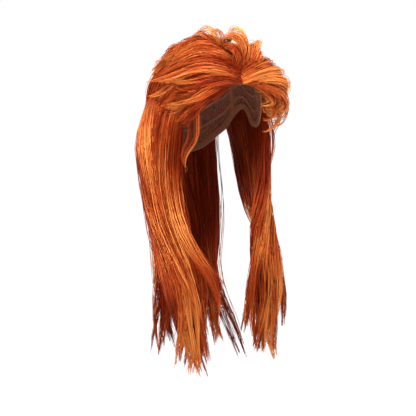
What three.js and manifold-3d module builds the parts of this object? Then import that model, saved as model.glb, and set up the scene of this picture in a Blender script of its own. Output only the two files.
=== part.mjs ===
// A mullet wig in copper-orange fibre: a close cap, short layered hair that is brushed up and back from the
// forehead, and long hair that hangs from the sides over the shoulders and down the back.
// Millimetres, +Z up. The origin is the crown seat, where the top of the head touches the inside of the cap.
// The face looks along -Y, and the wearer's left is +X.
import * as THREE from "three";
import { mergeVertices } from "three/addons/utils/BufferGeometryUtils.js";
import Module from "manifold-3d";

const wasm = await Module();
wasm.setup();

// The head that the cap is made for.
const HEAD_HALF_WIDTH = 75;
const HEAD_HALF_DEPTH = 95;
const CROWN_HEIGHT = 105; // from the widest level of the head up to the crown

// The wig.
const CAP_WALL = 2;
const BACKING_WALL = 3; // sewn rows of hair that each group is rooted in
const GAP = 0.4; // between pieces
const HAIR_LENGTH = 475; // from the crown down to the longest tip
const TOP_LIFT = 40; // how far the fringe stands off the head
const LOCK_WIDTH = 30;
const LOCK_THICKNESS = 10;
const LONG_LOCK_WIDTH = 34;
const LONG_LOCK_THICKNESS = 13;

const COPPER = new THREE.MeshStandardMaterial({ color: 0xc4602a, roughness: 0.45, metalness: 0 });
const DEEP_COPPER = new THREE.MeshStandardMaterial({ color: 0x9c3f18, roughness: 0.5, metalness: 0 });
const CAP_NET = new THREE.MeshStandardMaterial({ color: 0x2a1812, roughness: 0.9, metalness: 0 });

const LOCK_SIDES = 6;
const LAYER_STEPS = 5; // along a short lock
const LONG_STEPS = 9; // along a long lock
const ROOT_STEPS = 2; // of those, over the cap
const SHOULDER = 0.4; // how soon those steps turn down, as a share of their drop
const ROOT_INSET = 0.08; // of CROWN_HEIGHT, from the top of a backing to the roots of its long locks
const CAP_FACETS = { turns: 32, rows: 5 };
const CROWN_PAD_FACETS = { turns: 20, rows: 3 };
const HEAD_FACETS = { turns: 48, rows: 28 };
const PAD_STEP = 12; // degrees between the corners of a backing
const FACET_DIP = 1.1; // how far a backing's flat facets dip towards the cap between their corners
const HEAD = new THREE.Vector3(HEAD_HALF_WIDTH, HEAD_HALF_DEPTH, CROWN_HEIGHT);
const BACKING_LIFT = CAP_WALL + GAP + FACET_DIP;
const ROOT_LIFT = BACKING_LIFT + BACKING_WALL * 0.7; // the roots sit deep in the backing

// The cap's lower edge: how far down it comes at each turn from the forehead, as a share of CROWN_HEIGHT.
const CAP_EDGE = [
  { turn: 0, down: 0.48 },
  { turn: 30, down: 0.51 },
  { turn: 50, down: 0.6 },
  { turn: 64, down: 0.8 },
  { turn: 73, down: 1.1 },
  { turn: 83, down: 1.12 },
  { turn: 93, down: 0.92 },
  { turn: 104, down: 0.94 },
  { turn: 120, down: 1.22 },
  { turn: 145, down: 1.48 },
  { turn: 180, down: 1.56 },
];

// How a lock changes along its length: its breadth and thickness, and how much of its lift, flick and swing it
// has there.
const SHORT_LOCK = [
  { along: 0, wide: 0.62, thick: 0.45, lift: 0, flick: 0 },
  { along: 0.2, wide: 0.82, thick: 0.78, lift: 0.54, flick: 0 },
  { along: 0.4, wide: 1, thick: 1, lift: 0.9, flick: 0 },
  { along: 0.6, wide: 0.97, thick: 1, lift: 1, flick: 0 },
  { along: 0.8, wide: 0.62, thick: 0.62, lift: 1, flick: 0.45 },
  { along: 1, wide: 0.18, thick: 0.2, lift: 1, flick: 1 },
];
const LONG_LOCK = [
  { along: 0, wide: 0.75, thick: 0.5, swing: 0 },
  { along: 0.2, wide: 1, thick: 1, swing: 0 },
  { along: 0.5, wide: 1, thick: 1, swing: 0 },
  { along: 0.68, wide: 0.75, thick: 0.75, swing: 0.05 },
  { along: 0.84, wide: 0.4, thick: 0.4, swing: 0.6 },
  { along: 1, wide: 0.15, thick: 0.15, swing: 1 },
];

// Short hair. A lock grows at turn and down on the head and ends over toTurn and toDown. Turns are degrees from
// the forehead, positive to the wearer's left, and downs are shares of CROWN_HEIGHT. lift is how far its middle
// stands off the head and flick how much further its tip does, in shares of TOP_LIFT, and wide is a share of
// LOCK_WIDTH. A backing with no toDown reaches down to the cap's edge.
const SHORT_GROUPS = [
  {
    name: "crown_curls",
    backing: { turn: -180, toTurn: 180, down: 0, toDown: 0.21 },
    locks: [
      { turn: 56, down: 0.18, toTurn: -8, toDown: 0.08, lift: 0.95, flick: -0.15, wide: 0.85 },
      { turn: 24, down: 0.18, toTurn: 62, toDown: 0.16, lift: 0.85, flick: 0.05, wide: 0.8 },
      { turn: -10, down: 0.19, toTurn: -88, toDown: 0.1, lift: 0.45, flick: -0.05, wide: 1.15 },
      { turn: -30, down: 0.17, toTurn: -112, toDown: 0.22, lift: 0.38, flick: 0.05, wide: 1.1 },
      { turn: -110, down: 0.12, toTurn: -136, toDown: 0.44, lift: 0.26, flick: 0.05, wide: 1.25 },
      { turn: -165, down: 0.1, toTurn: -172, toDown: 0.46, lift: 0.3, flick: 0.05, wide: 1.25 },
      { turn: 140, down: 0.1, toTurn: 148, toDown: 0.46, lift: 0.32, flick: 0.05, wide: 1.25 },
      { turn: 84, down: 0.13, toTurn: 108, toDown: 0.38, lift: 0.42, flick: 0, wide: 1.2 },
    ],
  },
  {
    name: "fringe_left",
    backing: { turn: 2, toTurn: 56, down: 0.24 },
    locks: [
      { turn: 5, down: 0.42, toTurn: 30, toDown: 0.2, lift: 0.7, flick: 0.1, wide: 0.9 },
      { turn: 6, down: 0.43, toTurn: 51, toDown: 0.42, lift: 0.72, flick: 0.3, wide: 1 },
      { turn: 6, down: 0.45, toTurn: 54, toDown: 0.56, lift: 0.85, flick: 0.2, wide: 0.95 },
      { turn: 10, down: 0.47, toTurn: 57, toDown: 0.73, lift: 0.9, flick: 0.15, wide: 0.9 },
      { turn: 18, down: 0.48, toTurn: 58, toDown: 0.9, lift: 0.82, flick: 0.05, wide: 0.8 },
      { turn: 32, down: 0.52, toTurn: 59, toDown: 1.02, lift: 0.62, flick: 0.05, wide: 0.7 },
      { turn: 30, down: 0.34, toTurn: 80, toDown: 0.5, lift: 0.85, flick: 0, wide: 1.2 },
    ],
  },
  {
    name: "fringe_right",
    backing: { turn: -50, toTurn: 0, down: 0.24 },
    locks: [
      { turn: -6, down: 0.38, toTurn: -78, toDown: 0.24, lift: 0.5, flick: 0, wide: 1.15 },
      { turn: -5, down: 0.42, toTurn: -100, toDown: 0.44, lift: 0.46, flick: 0, wide: 1.15 },
      { turn: -4, down: 0.46, toTurn: -82, toDown: 0.6, lift: 0.42, flick: 0.05, wide: 1.05 },
      { turn: -12, down: 0.5, toTurn: -75, toDown: 0.8, lift: 0.36, flick: 0.08, wide: 0.95 },
      { turn: -30, down: 0.54, toTurn: -74, toDown: 0.99, lift: 0.3, flick: 0.1, wide: 0.85 },
    ],
  },
  {
    name: "temple_left",
    backing: { turn: 65, toTurn: 102, down: 0.24, toDown: 0.66 },
    locks: [
      { turn: 72, down: 0.5, toTurn: 71, toDown: 1.06, lift: 0.42, flick: -0.05, wide: 0.85 },
      { turn: 84, down: 0.4, toTurn: 92, toDown: 0.98, lift: 0.36, flick: 0.02, wide: 1.2 },
      { turn: 97, down: 0.34, toTurn: 114, toDown: 0.84, lift: 0.3, flick: 0.05, wide: 1.2 },
    ],
  },
  {
    name: "temple_right",
    backing: { turn: -102, toTurn: -65, down: 0.24, toDown: 0.66 },
    locks: [
      { turn: -74, down: 0.44, toTurn: -91, toDown: 0.94, lift: 0.22, flick: 0.05, wide: 1 },
      { turn: -88, down: 0.38, toTurn: -107, toDown: 0.86, lift: 0.24, flick: 0.05, wide: 1.15 },
    ],
  },
  {
    name: "nape_layers",
    backing: { turn: 104, toTurn: 256, down: 0.24, toDown: 0.66 },
    locks: [
      { turn: 114, down: 0.36, toTurn: 130, toDown: 0.84, lift: 0.26, flick: 0.08, wide: 1.25 },
      { turn: 136, down: 0.38, toTurn: 150, toDown: 0.9, lift: 0.26, flick: 0.08, wide: 1.25 },
      { turn: 162, down: 0.38, toTurn: 172, toDown: 0.94, lift: 0.26, flick: 0.08, wide: 1.25 },
      { turn: 188, down: 0.38, toTurn: 196, toDown: 0.94, lift: 0.24, flick: 0.08, wide: 1.25 },
      { turn: 220, down: 0.38, toTurn: 218, toDown: 0.88, lift: 0.22, flick: 0.08, wide: 1.25 },
      { turn: 246, down: 0.38, toTurn: 238, toDown: 0.82, lift: 0.24, flick: 0.08, wide: 1.2 },
    ],
  },
];

// Long hair hangs as a curtain between a fore edge and an aft edge. Each row gives where the edges are at one
// level: down is a share of HAIR_LENGTH, x of HEAD_HALF_WIDTH, y of HEAD_HALF_DEPTH, and bulge is how far the
// curtain's middle stands out between its edges, a share of HEAD_HALF_WIDTH. The first row lies below the
// curtain's roots on the cap.
const RIGHT_CURTAIN = [
  { down: 0.3, foreX: -1.02, foreY: -0.42, aftX: -1.16, aftY: 0.66, bulge: 0.14 },
  { down: 0.43, foreX: -1.03, foreY: -0.38, aftX: -1.18, aftY: 0.42, bulge: 0.13 },
  { down: 0.55, foreX: -0.9, foreY: -0.56, aftX: -1.27, aftY: 0.12, bulge: 0.12 },
  { down: 0.61, foreX: -0.85, foreY: -0.66, aftX: -1.35, aftY: -0.12, bulge: 0.1 },
  { down: 0.7, foreX: -0.66, foreY: -0.8, aftX: -1.39, aftY: -0.51, bulge: 0.08 },
  { down: 0.84, foreX: -0.71, foreY: -0.83, aftX: -1.32, aftY: -0.68, bulge: 0.06 },
  { down: 0.96, foreX: -0.84, foreY: -0.8, aftX: -1.2, aftY: -0.71, bulge: 0.04 },
  { down: 1.0, foreX: -0.85, foreY: -0.79, aftX: -1.02, aftY: -0.76, bulge: 0.02 },
];
const LEFT_CURTAIN = [
  { down: 0.3, foreX: 1.02, foreY: -0.44, aftX: 1.16, aftY: 0.64, bulge: 0.12 },
  { down: 0.43, foreX: 0.95, foreY: -0.5, aftX: 1.16, aftY: 0.52, bulge: 0.16 },
  { down: 0.49, foreX: 0.72, foreY: -0.62, aftX: 1.2, aftY: 0.36, bulge: 0.2 },
  { down: 0.55, foreX: 0.5, foreY: -0.64, aftX: 1.3, aftY: 0.1, bulge: 0.24 },
  { down: 0.61, foreX: 0.44, foreY: -0.63, aftX: 1.4, aftY: -0.3, bulge: 0.14 },
  { down: 0.67, foreX: 0.48, foreY: -0.61, aftX: 1.38, aftY: -0.57, bulge: 0.08 },
  { down: 0.81, foreX: 0.46, foreY: -0.61, aftX: 1.2, aftY: -0.61, bulge: 0.06 },
  { down: 0.91, foreX: 0.62, foreY: -0.59, aftX: 1.01, aftY: -0.6, bulge: 0.04 },
  { down: 0.98, foreX: 0.8, foreY: -0.59, aftX: 0.96, aftY: -0.61, bulge: 0.02 },
];
const BACK_CURTAIN = [
  { down: 0.34, foreX: -1.03, foreY: 0.71, aftX: 1.03, aftY: 0.71, bulge: 0.54 },
  { down: 0.46, foreX: -0.98, foreY: 0.62, aftX: 1.03, aftY: 0.62, bulge: 0.44 },
  { down: 0.57, foreX: -0.88, foreY: 0.56, aftX: 1.0, aftY: 0.55, bulge: 0.36 },
  { down: 0.71, foreX: -0.74, foreY: 0.61, aftX: 0.95, aftY: 0.53, bulge: 0.28 },
  { down: 0.86, foreX: -0.64, foreY: 0.65, aftX: 0.98, aftY: 0.47, bulge: 0.2 },
  { down: 1.0, foreX: -0.56, foreY: 0.65, aftX: 1.1, aftY: 0.41, bulge: 0.14 },
];
// The strands in front of the ears.
const RIGHT_SIDEBURN = [
  { down: 0.21, foreX: -0.82, foreY: -0.68, aftX: -0.98, aftY: -0.54, bulge: 0.02 },
  { down: 0.28, foreX: -0.86, foreY: -0.65, aftX: -1.02, aftY: -0.5, bulge: 0.02 },
  { down: 0.34, foreX: -0.91, foreY: -0.53, aftX: -1.04, aftY: -0.48, bulge: 0.01 },
  { down: 0.39, foreX: -0.95, foreY: -0.41, aftX: -1.0, aftY: -0.46, bulge: 0 },
];
const LEFT_SIDEBURN = [
  { down: 0.21, foreX: 0.95, foreY: -0.72, aftX: 0.98, aftY: -0.48, bulge: 0.06 },
  { down: 0.26, foreX: 1.05, foreY: -0.76, aftX: 1.03, aftY: -0.5, bulge: 0.04 },
  { down: 0.32, foreX: 0.98, foreY: -0.64, aftX: 1.07, aftY: -0.51, bulge: 0.02 },
  { down: 0.43, foreX: 0.96, foreY: -0.55, aftX: 1.02, aftY: -0.47, bulge: 0 },
];

// A long lock grows at turn on the head, hangs at share of its curtain's breadth and ends at tip, a share of
// HAIR_LENGTH. wide is a share of LONG_LOCK_WIDTH, out is how far it stands off its curtain, in
// LONG_LOCK_THICKNESSes, and swing is how far its tip is blown towards the fore edge, in LONG_LOCK_WIDTHs.
const LONG_GROUPS = [
  {
    name: "sideburn_right",
    backing: { turn: -63, toTurn: -53, down: 0.46 },
    curtain: RIGHT_SIDEBURN,
    locks: [
      { turn: -56, share: 0, tip: 0.385, wide: 0.34, out: 0, swing: 0 },
      { turn: -60, share: 1, tip: 0.38, wide: 0.26, out: 0, swing: 0.15 },
    ],
  },
  {
    name: "sideburn_left",
    backing: { turn: 58, toTurn: 63, down: 0.46 },
    curtain: LEFT_SIDEBURN,
    locks: [
      { turn: 60, share: 0, tip: 0.285, wide: 0.4, out: 0, swing: -0.3 },
      { turn: 61, share: 1, tip: 0.43, wide: 0.26, out: 0, swing: 0 },
    ],
  },
  {
    name: "long_hair_right",
    backing: { turn: -132, toTurn: -65, down: 0.68 },
    curtain: RIGHT_CURTAIN,
    locks: [
      { turn: -70, share: 0, tip: 0.74, wide: 0.9, out: 0, swing: 0.35 },
      { turn: -84, share: 0.24, tip: 0.94, wide: 1.3, out: 0.2, swing: 0 },
      { turn: -98, share: 0.48, tip: 1.0, wide: 1.3, out: -0.15, swing: 0 },
      { turn: -112, share: 0.74, tip: 0.97, wide: 1.3, out: 0.2, swing: 0 },
      { turn: -127, share: 1, tip: 0.95, wide: 1.1, out: 0, swing: 0 },
    ],
  },
  {
    name: "long_hair_left",
    backing: { turn: 65, toTurn: 132, down: 0.68 },
    curtain: LEFT_CURTAIN,
    locks: [
      { turn: 70, share: 0, tip: 0.87, wide: 0.9, out: 0, swing: 0.1 },
      { turn: 84, share: 0.24, tip: 0.93, wide: 1.3, out: 0.2, swing: 0 },
      { turn: 98, share: 0.48, tip: 0.96, wide: 1.3, out: -0.15, swing: 0 },
      { turn: 112, share: 0.74, tip: 0.94, wide: 1.3, out: 0.2, swing: 0 },
      { turn: 127, share: 1, tip: 0.9, wide: 1.1, out: 0, swing: 0 },
    ],
  },
  {
    name: "back_hair",
    backing: { turn: 134, toTurn: 226, down: 0.68 },
    curtain: BACK_CURTAIN,
    locks: [
      { turn: 221, share: 0, tip: 0.97, wide: 1.1, out: 0, swing: 0 },
      { turn: 205, share: 0.2, tip: 0.91, wide: 1.2, out: 0.15, swing: 0 },
      { turn: 188, share: 0.4, tip: 0.94, wide: 1.2, out: -0.1, swing: 0 },
      { turn: 172, share: 0.6, tip: 0.9, wide: 1.2, out: 0.1, swing: 0 },
      { turn: 155, share: 0.8, tip: 0.93, wide: 1.2, out: -0.1, swing: 0 },
      { turn: 139, share: 1, tip: 0.98, wide: 1.1, out: 0, swing: 0 },
    ],
  },
];

const { degToRad, radToDeg, lerp, clamp } = THREE.MathUtils;

// Reads a table at a place between its rows, with a smooth curve through them.
function readTable(rows, key, place, column) {
  const last = rows.length - 1;
  let i = 0;
  while (i < last - 1 && place > rows[i + 1][key]) i++;
  const t = clamp((place - rows[i][key]) / (rows[i + 1][key] - rows[i][key]), 0, 1);
  const before = rows[Math.max(0, i - 1)][column];
  const after = rows[Math.min(last, i + 2)][column];
  const from = rows[i][column];
  const to = rows[i + 1][column];
  const leave = (to - before) / 2;
  const arrive = (after - from) / 2;
  const square = 3 * (to - from) - 2 * leave - arrive;
  const cube = 2 * (from - to) + leave + arrive;
  return from + t * (leave + t * (square + t * cube));
}

function capEdge(turn) {
  return readTable(CAP_EDGE, "turn", Math.min(180, Math.abs(((turn + 540) % 360) - 180)), "down");
}

// The unit direction of a place on the head. The sphere that it lies on is stretched into the head.
function headDirection(turn, down) {
  const rise = 1 - down;
  const level = Math.sqrt(Math.max(0, 1 - rise * rise));
  return new THREE.Vector3(Math.sin(degToRad(turn)) * level, -Math.cos(degToRad(turn)) * level, rise);
}

function offHead(direction, lift) {
  const normal = direction.clone().divide(HEAD).normalize();
  const point = direction.clone().multiply(HEAD).addScaledVector(normal, lift);
  point.z -= CROWN_HEIGHT;
  return { point, normal };
}

function onHead(turn, down, lift) {
  return offHead(headDirection(turn, down), lift);
}

// Moves every vertex of a geometry to place(x, y, z).
function warp(geometry, place) {
  const position = geometry.getAttribute("position");
  for (let i = 0; i < position.count; i++) {
    const to = place(position.getX(i), position.getY(i), position.getZ(i));
    position.setXYZ(i, to.x, to.y, to.z);
  }
  return geometry;
}

// A closed geometry as a solid, turned outside out if the warp mirrored it.
function solidOf(geometry) {
  geometry.deleteAttribute("normal");
  geometry.deleteAttribute("uv");
  const merged = mergeVertices(geometry, 1e-3);
  const corners = merged.index.array;
  const faces = [];
  for (let i = 0; i < corners.length; i += 3) {
    const [a, b, c] = [corners[i], corners[i + 1], corners[i + 2]];
    if (a !== b && b !== c && c !== a) faces.push([a, b, c]);
  }
  const build = (list) =>
    new wasm.Manifold(
      new wasm.Mesh({
        numProp: 3,
        vertProperties: Float32Array.from(merged.getAttribute("position").array),
        triVerts: Uint32Array.from(list.flat()),
      }),
    );
  const made = build(faces);
  return made.volume() > 0 ? made : build(faces.map(([a, b, c]) => [a, c, b]));
}

function joined(solids) {
  return solids.reduce((all, one) => all.add(one));
}

// A dome over the head between two lifts, down to a share of CROWN_HEIGHT that may differ at each turn.
function dome(innerLift, outerLift, edge, { turns, rows }) {
  const steps = Array.from({ length: rows + 1 }, (_, i) => i / rows);
  const outer = steps.map((share) => new THREE.Vector2(share, 1));
  const inner = steps.map((share) => new THREE.Vector2(share, 0)).reverse();
  return warp(new THREE.LatheGeometry([...outer, ...inner], turns), (x, wall, z) => {
    const turn = radToDeg(Math.atan2(x, z));
    const down = (x * x + z * z) * edge(turn);
    return onHead(turn, down, lerp(innerLift, outerLift, wall)).point;
  });
}

// The sewn rows of hair that a group is rooted in: a curved pad on the cap, made larger all round by grow.
function backing({ turn, toTurn, down, toDown }, grow) {
  const low = BACKING_LIFT - grow;
  const high = BACKING_LIFT + BACKING_WALL + grow;
  const growDown = grow / CROWN_HEIGHT;
  if (down === 0) return solidOf(dome(low, high, () => toDown + growDown, CROWN_PAD_FACETS));
  const growTurn = radToDeg(grow / HEAD_HALF_WIDTH);
  const lowest = toDown ?? Math.max(capEdge(turn), capEdge(toTurn));
  const arc = radToDeg(Math.acos(1 - lowest) - Math.acos(1 - down));
  const columns = Math.ceil((toTurn - turn) / PAD_STEP);
  const pad = new THREE.BoxGeometry(1, 1, 1, columns, Math.ceil(arc / PAD_STEP), 1);
  return solidOf(
    warp(pad, (across, along, wall) => {
      const at = lerp(turn - growTurn, toTurn + growTurn, across + 0.5);
      const bottom = (toDown ?? capEdge(at)) + growDown;
      return onHead(at, lerp(down - growDown, bottom, along + 0.5), lerp(low, high, wall + 0.5)).point;
    }),
  );
}

// The stations of a short lock: its middle line and how wide and thick it is there.
function shortStations(lock) {
  const from = headDirection(lock.turn, lock.down);
  const to = headDirection(lock.toTurn, lock.toDown);
  const angle = from.angleTo(to);
  return Array.from({ length: LAYER_STEPS + 1 }, (_, i) => {
    const t = i / LAYER_STEPS;
    const way = from.clone().multiplyScalar(Math.sin((1 - t) * angle));
    way.addScaledVector(to, Math.sin(t * angle)).divideScalar(Math.sin(angle));
    const at = (column) => readTable(SHORT_LOCK, "along", t, column);
    const lift = lerp(ROOT_LIFT, lock.lift * TOP_LIFT, at("lift")) + lock.flick * TOP_LIFT * at("flick");
    return {
      ...offHead(way, lift),
      halfWidth: (LOCK_WIDTH / 2) * lock.wide * at("wide"),
      halfThickness: (LOCK_THICKNESS / 2) * at("thick"),
    };
  });
}

// A place on a curtain at a level. share goes from the fore edge to the aft edge, less halfWidth at each.
function onCurtain(curtain, down, share, halfWidth) {
  const at = (column) => readTable(curtain, "down", down, column);
  const fore = new THREE.Vector2(at("foreX") * HEAD_HALF_WIDTH, at("foreY") * HEAD_HALF_DEPTH);
  const aft = new THREE.Vector2(at("aftX") * HEAD_HALF_WIDTH, at("aftY") * HEAD_HALF_DEPTH);
  const across = aft.clone().sub(fore);
  const inset = Math.min(0.5, halfWidth / across.length());
  const place = lerp(inset, 1 - inset, share);
  const outward = new THREE.Vector2(across.y, -across.x).normalize();
  if (outward.dot(fore.clone().add(aft)) < 0) outward.negate();
  const bulge = at("bulge") * HEAD_HALF_WIDTH * 4; // a parabola, full at the middle
  const flat = fore.lerp(aft, place).addScaledVector(outward, bulge * place * (1 - place));
  const slope = (bulge / across.length()) * (2 * place - 1);
  const forward = across.normalize().negate();
  const facing = outward.addScaledVector(forward, -slope).normalize();
  return {
    point: new THREE.Vector3(flat.x, flat.y, -down * HAIR_LENGTH),
    normal: new THREE.Vector3(facing.x, facing.y, 0),
    forward: new THREE.Vector3(forward.x, forward.y, 0),
  };
}

// The stations of a long lock: out from its root on the cap, then down its curtain.
function longStations({ backing: rooted, curtain }, lock) {
  const root = onHead(lock.turn, rooted.down + ROOT_INSET, ROOT_LIFT);
  const top = curtain[0].down;
  return Array.from({ length: LONG_STEPS + 1 }, (_, i) => {
    const t = i / LONG_STEPS;
    const at = (column) => readTable(LONG_LOCK, "along", t, column);
    const halfWidth = (LONG_LOCK_WIDTH / 2) * lock.wide * at("wide");
    const halfThickness = (LONG_LOCK_THICKNESS / 2) * at("thick");
    const down = lerp(top, lock.tip, Math.max(0, i - ROOT_STEPS) / (LONG_STEPS - ROOT_STEPS));
    const { point, normal, forward } = onCurtain(curtain, down, lock.share, halfWidth);
    point.addScaledVector(normal, lock.out * LONG_LOCK_THICKNESS);
    point.addScaledVector(forward, lock.swing * LONG_LOCK_WIDTH * at("swing"));
    if (i < ROOT_STEPS) {
      const shoulder = new THREE.Vector3(point.x, point.y, lerp(root.point.z, point.z, SHOULDER));
      point.copy(new THREE.QuadraticBezierCurve3(root.point, shoulder, point).getPoint(i / ROOT_STEPS));
      normal.lerp(root.normal, 1 - i / ROOT_STEPS).normalize();
    }
    return { point, normal, halfWidth, halfThickness };
  });
}

// A lock: a cylinder bent along its stations, flattened where they say.
function lockSolid(stations, grow) {
  const steps = stations.length - 1;
  const rod = new THREE.CylinderGeometry(1, 1, 1, LOCK_SIDES, steps);
  return solidOf(
    warp(rod, (x, along, z) => {
      const i = Math.round((along + 0.5) * steps);
      const { point, normal, halfWidth, halfThickness } = stations[i];
      const before = stations[Math.max(0, i - 1)].point;
      const after = stations[Math.min(steps, i + 1)].point;
      const tangent = after.clone().sub(before).normalize();
      const side = new THREE.Vector3().crossVectors(tangent, normal).normalize();
      const out = new THREE.Vector3().crossVectors(side, tangent);
      const end = i === steps ? grow : i === 0 ? -grow : 0;
      return point
        .clone()
        .addScaledVector(side, x * (halfWidth + grow))
        .addScaledVector(out, z * (halfThickness + grow))
        .addScaledVector(tangent, end);
    }),
  );
}

function hairSolid(group, grow) {
  const stations = group.locks.map((lock) => (group.curtain ? longStations(group, lock) : shortStations(lock)));
  return joined([backing(group.backing, grow), ...stations.map((line) => lockSolid(line, grow))]);
}

// A solid as a named mesh.
function meshOf(name, solid, material) {
  const { vertProperties, triVerts } = solid.getMesh();
  const geometry = new THREE.BufferGeometry();
  geometry.setAttribute("position", new THREE.BufferAttribute(Float32Array.from(vertProperties), 3));
  geometry.setIndex(new THREE.BufferAttribute(Uint32Array.from(triVerts), 1));
  geometry.computeVertexNormals();
  const mesh = new THREE.Mesh(geometry, material);
  mesh.name = name;
  return mesh;
}

const wig = new THREE.Group();
wig.name = "mullet_wig";
wig.add(meshOf("cap", solidOf(dome(0, CAP_WALL, capEdge, CAP_FACETS)), CAP_NET));

// Each group of hair is cut clear of the head, the cap and the groups before it. Crumbs of locks that this cuts
// off are left out.
const headRoom = new THREE.SphereGeometry(1, HEAD_FACETS.turns, HEAD_FACETS.rows);
let taken = solidOf(warp(headRoom, (x, y, z) => offHead(new THREE.Vector3(x, y, z), CAP_WALL + GAP).point));
for (const group of [...SHORT_GROUPS, ...LONG_GROUPS]) {
  const free = hairSolid(group, 0).subtract(taken);
  const bodies = free.decompose().sort((a, b) => b.volume() - a.volume());
  wig.add(meshOf(group.name, bodies[0], group.curtain ? DEEP_COPPER : COPPER));
  taken = taken.add(hairSolid(group, GAP));
}

export default wig;
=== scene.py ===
"""A mullet wig in copper-orange fibre: short layers swept up and back, long hair over both shoulders."""

import math
from collections import namedtuple

import bmesh
import bpy
import numpy as np
from mathutils import Matrix, Vector


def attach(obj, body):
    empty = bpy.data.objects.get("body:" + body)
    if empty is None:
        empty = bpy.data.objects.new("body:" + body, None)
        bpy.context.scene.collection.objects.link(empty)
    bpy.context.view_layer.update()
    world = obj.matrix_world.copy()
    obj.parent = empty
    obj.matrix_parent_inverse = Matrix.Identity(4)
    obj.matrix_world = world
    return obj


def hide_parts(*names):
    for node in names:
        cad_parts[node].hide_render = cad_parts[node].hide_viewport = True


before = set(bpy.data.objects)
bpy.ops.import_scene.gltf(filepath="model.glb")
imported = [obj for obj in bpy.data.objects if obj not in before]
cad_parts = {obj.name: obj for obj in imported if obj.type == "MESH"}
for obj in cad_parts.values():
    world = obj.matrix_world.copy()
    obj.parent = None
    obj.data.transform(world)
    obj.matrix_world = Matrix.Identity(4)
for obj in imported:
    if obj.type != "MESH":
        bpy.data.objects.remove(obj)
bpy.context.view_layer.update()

# The studio: a pale floor far below the worn wig, an even white surround, a wide key light from the front
# and the wearer's right, a fill from the left and a soft light from above that draws the sheen on the crown.
FLOOR_LEVEL = -1.0
FLOOR_SIZE = 400.0
FLOOR_WHITE = 0.94
SURROUND_STRENGTH = 1.06
WIG_MIDDLE = Vector((0, 0, -0.237))
# name, azimuth, elevation, distance, width, watts
LIGHTS = [
    ("key_light", -66, 34, 1.9, 0.7, 50),
    ("fill_light", 34, 22, 2.2, 0.9, 26),
    ("top_light", -20, 76, 1.7, 0.7, 20),
]
VIEW = (-37.0, 6.2, 4.0)
LENS = 235.5
FAR = 1000


def new_material(name):
    """A new material, its node tree and its shader."""
    material = bpy.data.materials.new(name)
    material.use_nodes = True
    return material, material.node_tree, material.node_tree.nodes["Principled BSDF"]


def join(tree, made, inputs):
    """Sets each input of a node, or joins it to another node's output."""
    for key, value in dict(inputs).items():
        if isinstance(value, bpy.types.NodeSocket):
            tree.links.new(value, made.inputs[key])
        else:
            made.inputs[key].default_value = value
    return made


def placed(name, data):
    """A new object of the scene, at the origin."""
    holder = bpy.data.objects.new(name, data)
    scene.collection.objects.link(holder)
    return holder


def look_at_wig(holder, azimuth, elevation, distance):
    a, e = math.radians(azimuth), math.radians(elevation)
    way = Vector((math.sin(a) * math.cos(e), -math.cos(a) * math.cos(e), math.sin(e)))
    holder.location = WIG_MIDDLE + way * distance
    holder.rotation_euler = (WIG_MIDDLE - holder.location).to_track_quat("-Z", "Y").to_euler()


scene = bpy.context.scene
scene.view_settings.view_transform = "Standard"
bpy.ops.mesh.primitive_plane_add(size=FLOOR_SIZE, location=(0, 0, FLOOR_LEVEL))
floor = bpy.context.object
floor.name = "floor"
floor_paint, floor_tree, floor_shader = new_material("floor_paint")
floor_colour = (FLOOR_WHITE, FLOOR_WHITE, FLOOR_WHITE, 1)
join(floor_tree, floor_shader, {"Base Color": floor_colour, "Roughness": 1.0, "Specular IOR Level": 0.0})
floor.data.materials.append(floor_paint)

surround = bpy.data.worlds.new("surround")
surround.use_nodes = True
surround.node_tree.nodes["Background"].inputs["Color"].default_value = (1, 1, 1, 1)
surround.node_tree.nodes["Background"].inputs["Strength"].default_value = SURROUND_STRENGTH
scene.world = surround

for name, azimuth, elevation, distance, width, watts in LIGHTS:
    lamp = bpy.data.lights.new(name, "AREA")
    lamp.shape = "DISK"
    lamp.size = width
    lamp.energy = watts
    look_at_wig(placed(name, lamp), azimuth, elevation, distance)

camera = placed("camera", bpy.data.cameras.new("camera"))
camera.data.lens = LENS
camera.data.clip_end = FAR
look_at_wig(camera, *VIEW)
scene.camera = camera

# The cap: a close dome of dark stretch net, knotted from fine cord, that all the hair is sewn to. It is open
# below, and its edge runs down in front of the ears and low over the nape.
HEAD = np.array((0.075, 0.095, 0.105))
CROWN_HEIGHT = 0.105
CAP_WALL = 0.002
NET_CORDS_PER_METRE = 170
NET_LEAN = 45
NET_COLOUR = (0.11, 0.045, 0.028, 1)
NET_DEPTH = 0.0008
# A wave texture has this many bands in a unit at a scale of 1.
BANDS_AT_ONE = 20 / math.tau
CAP_EDGE = [
    (0, 0.48), (30, 0.51), (50, 0.6), (64, 0.8), (73, 1.1), (83, 1.12),
    (93, 0.92), (104, 0.94), (120, 1.22), (145, 1.48), (180, 1.56),
]
CAP_TURNS = 108
CAP_ROWS = 24
CAP_POLE = 0.02


def smooth(rows, place):
    """Reads the columns of a table at a place, with a smooth curve through its rows."""
    rows = np.asarray(rows, float)
    keys = rows[:, 0]
    i = int(np.clip(np.searchsorted(keys, place) - 1, 0, len(keys) - 2))
    t = np.clip((place - keys[i]) / (keys[i + 1] - keys[i]), 0, 1)
    before, start = rows[max(0, i - 1), 1:], rows[i, 1:]
    end, after = rows[i + 1, 1:], rows[min(len(keys) - 1, i + 2), 1:]
    leave, arrive = (end - before) / 2, (after - start) / 2
    square = 3 * (end - start) - 2 * leave - arrive
    cube = 2 * (start - end) + leave + arrive
    return start + t * (leave + t * (square + t * cube))


def cap_edge(turn):
    return float(smooth(CAP_EDGE, min(180, abs((turn + 540) % 360 - 180)))[0])


def head_direction(turn, down):
    rise = 1 - down
    level = math.sqrt(max(0, 1 - rise * rise))
    turn = math.radians(turn)
    return np.array((math.sin(turn) * level, -math.cos(turn) * level, rise))


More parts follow.
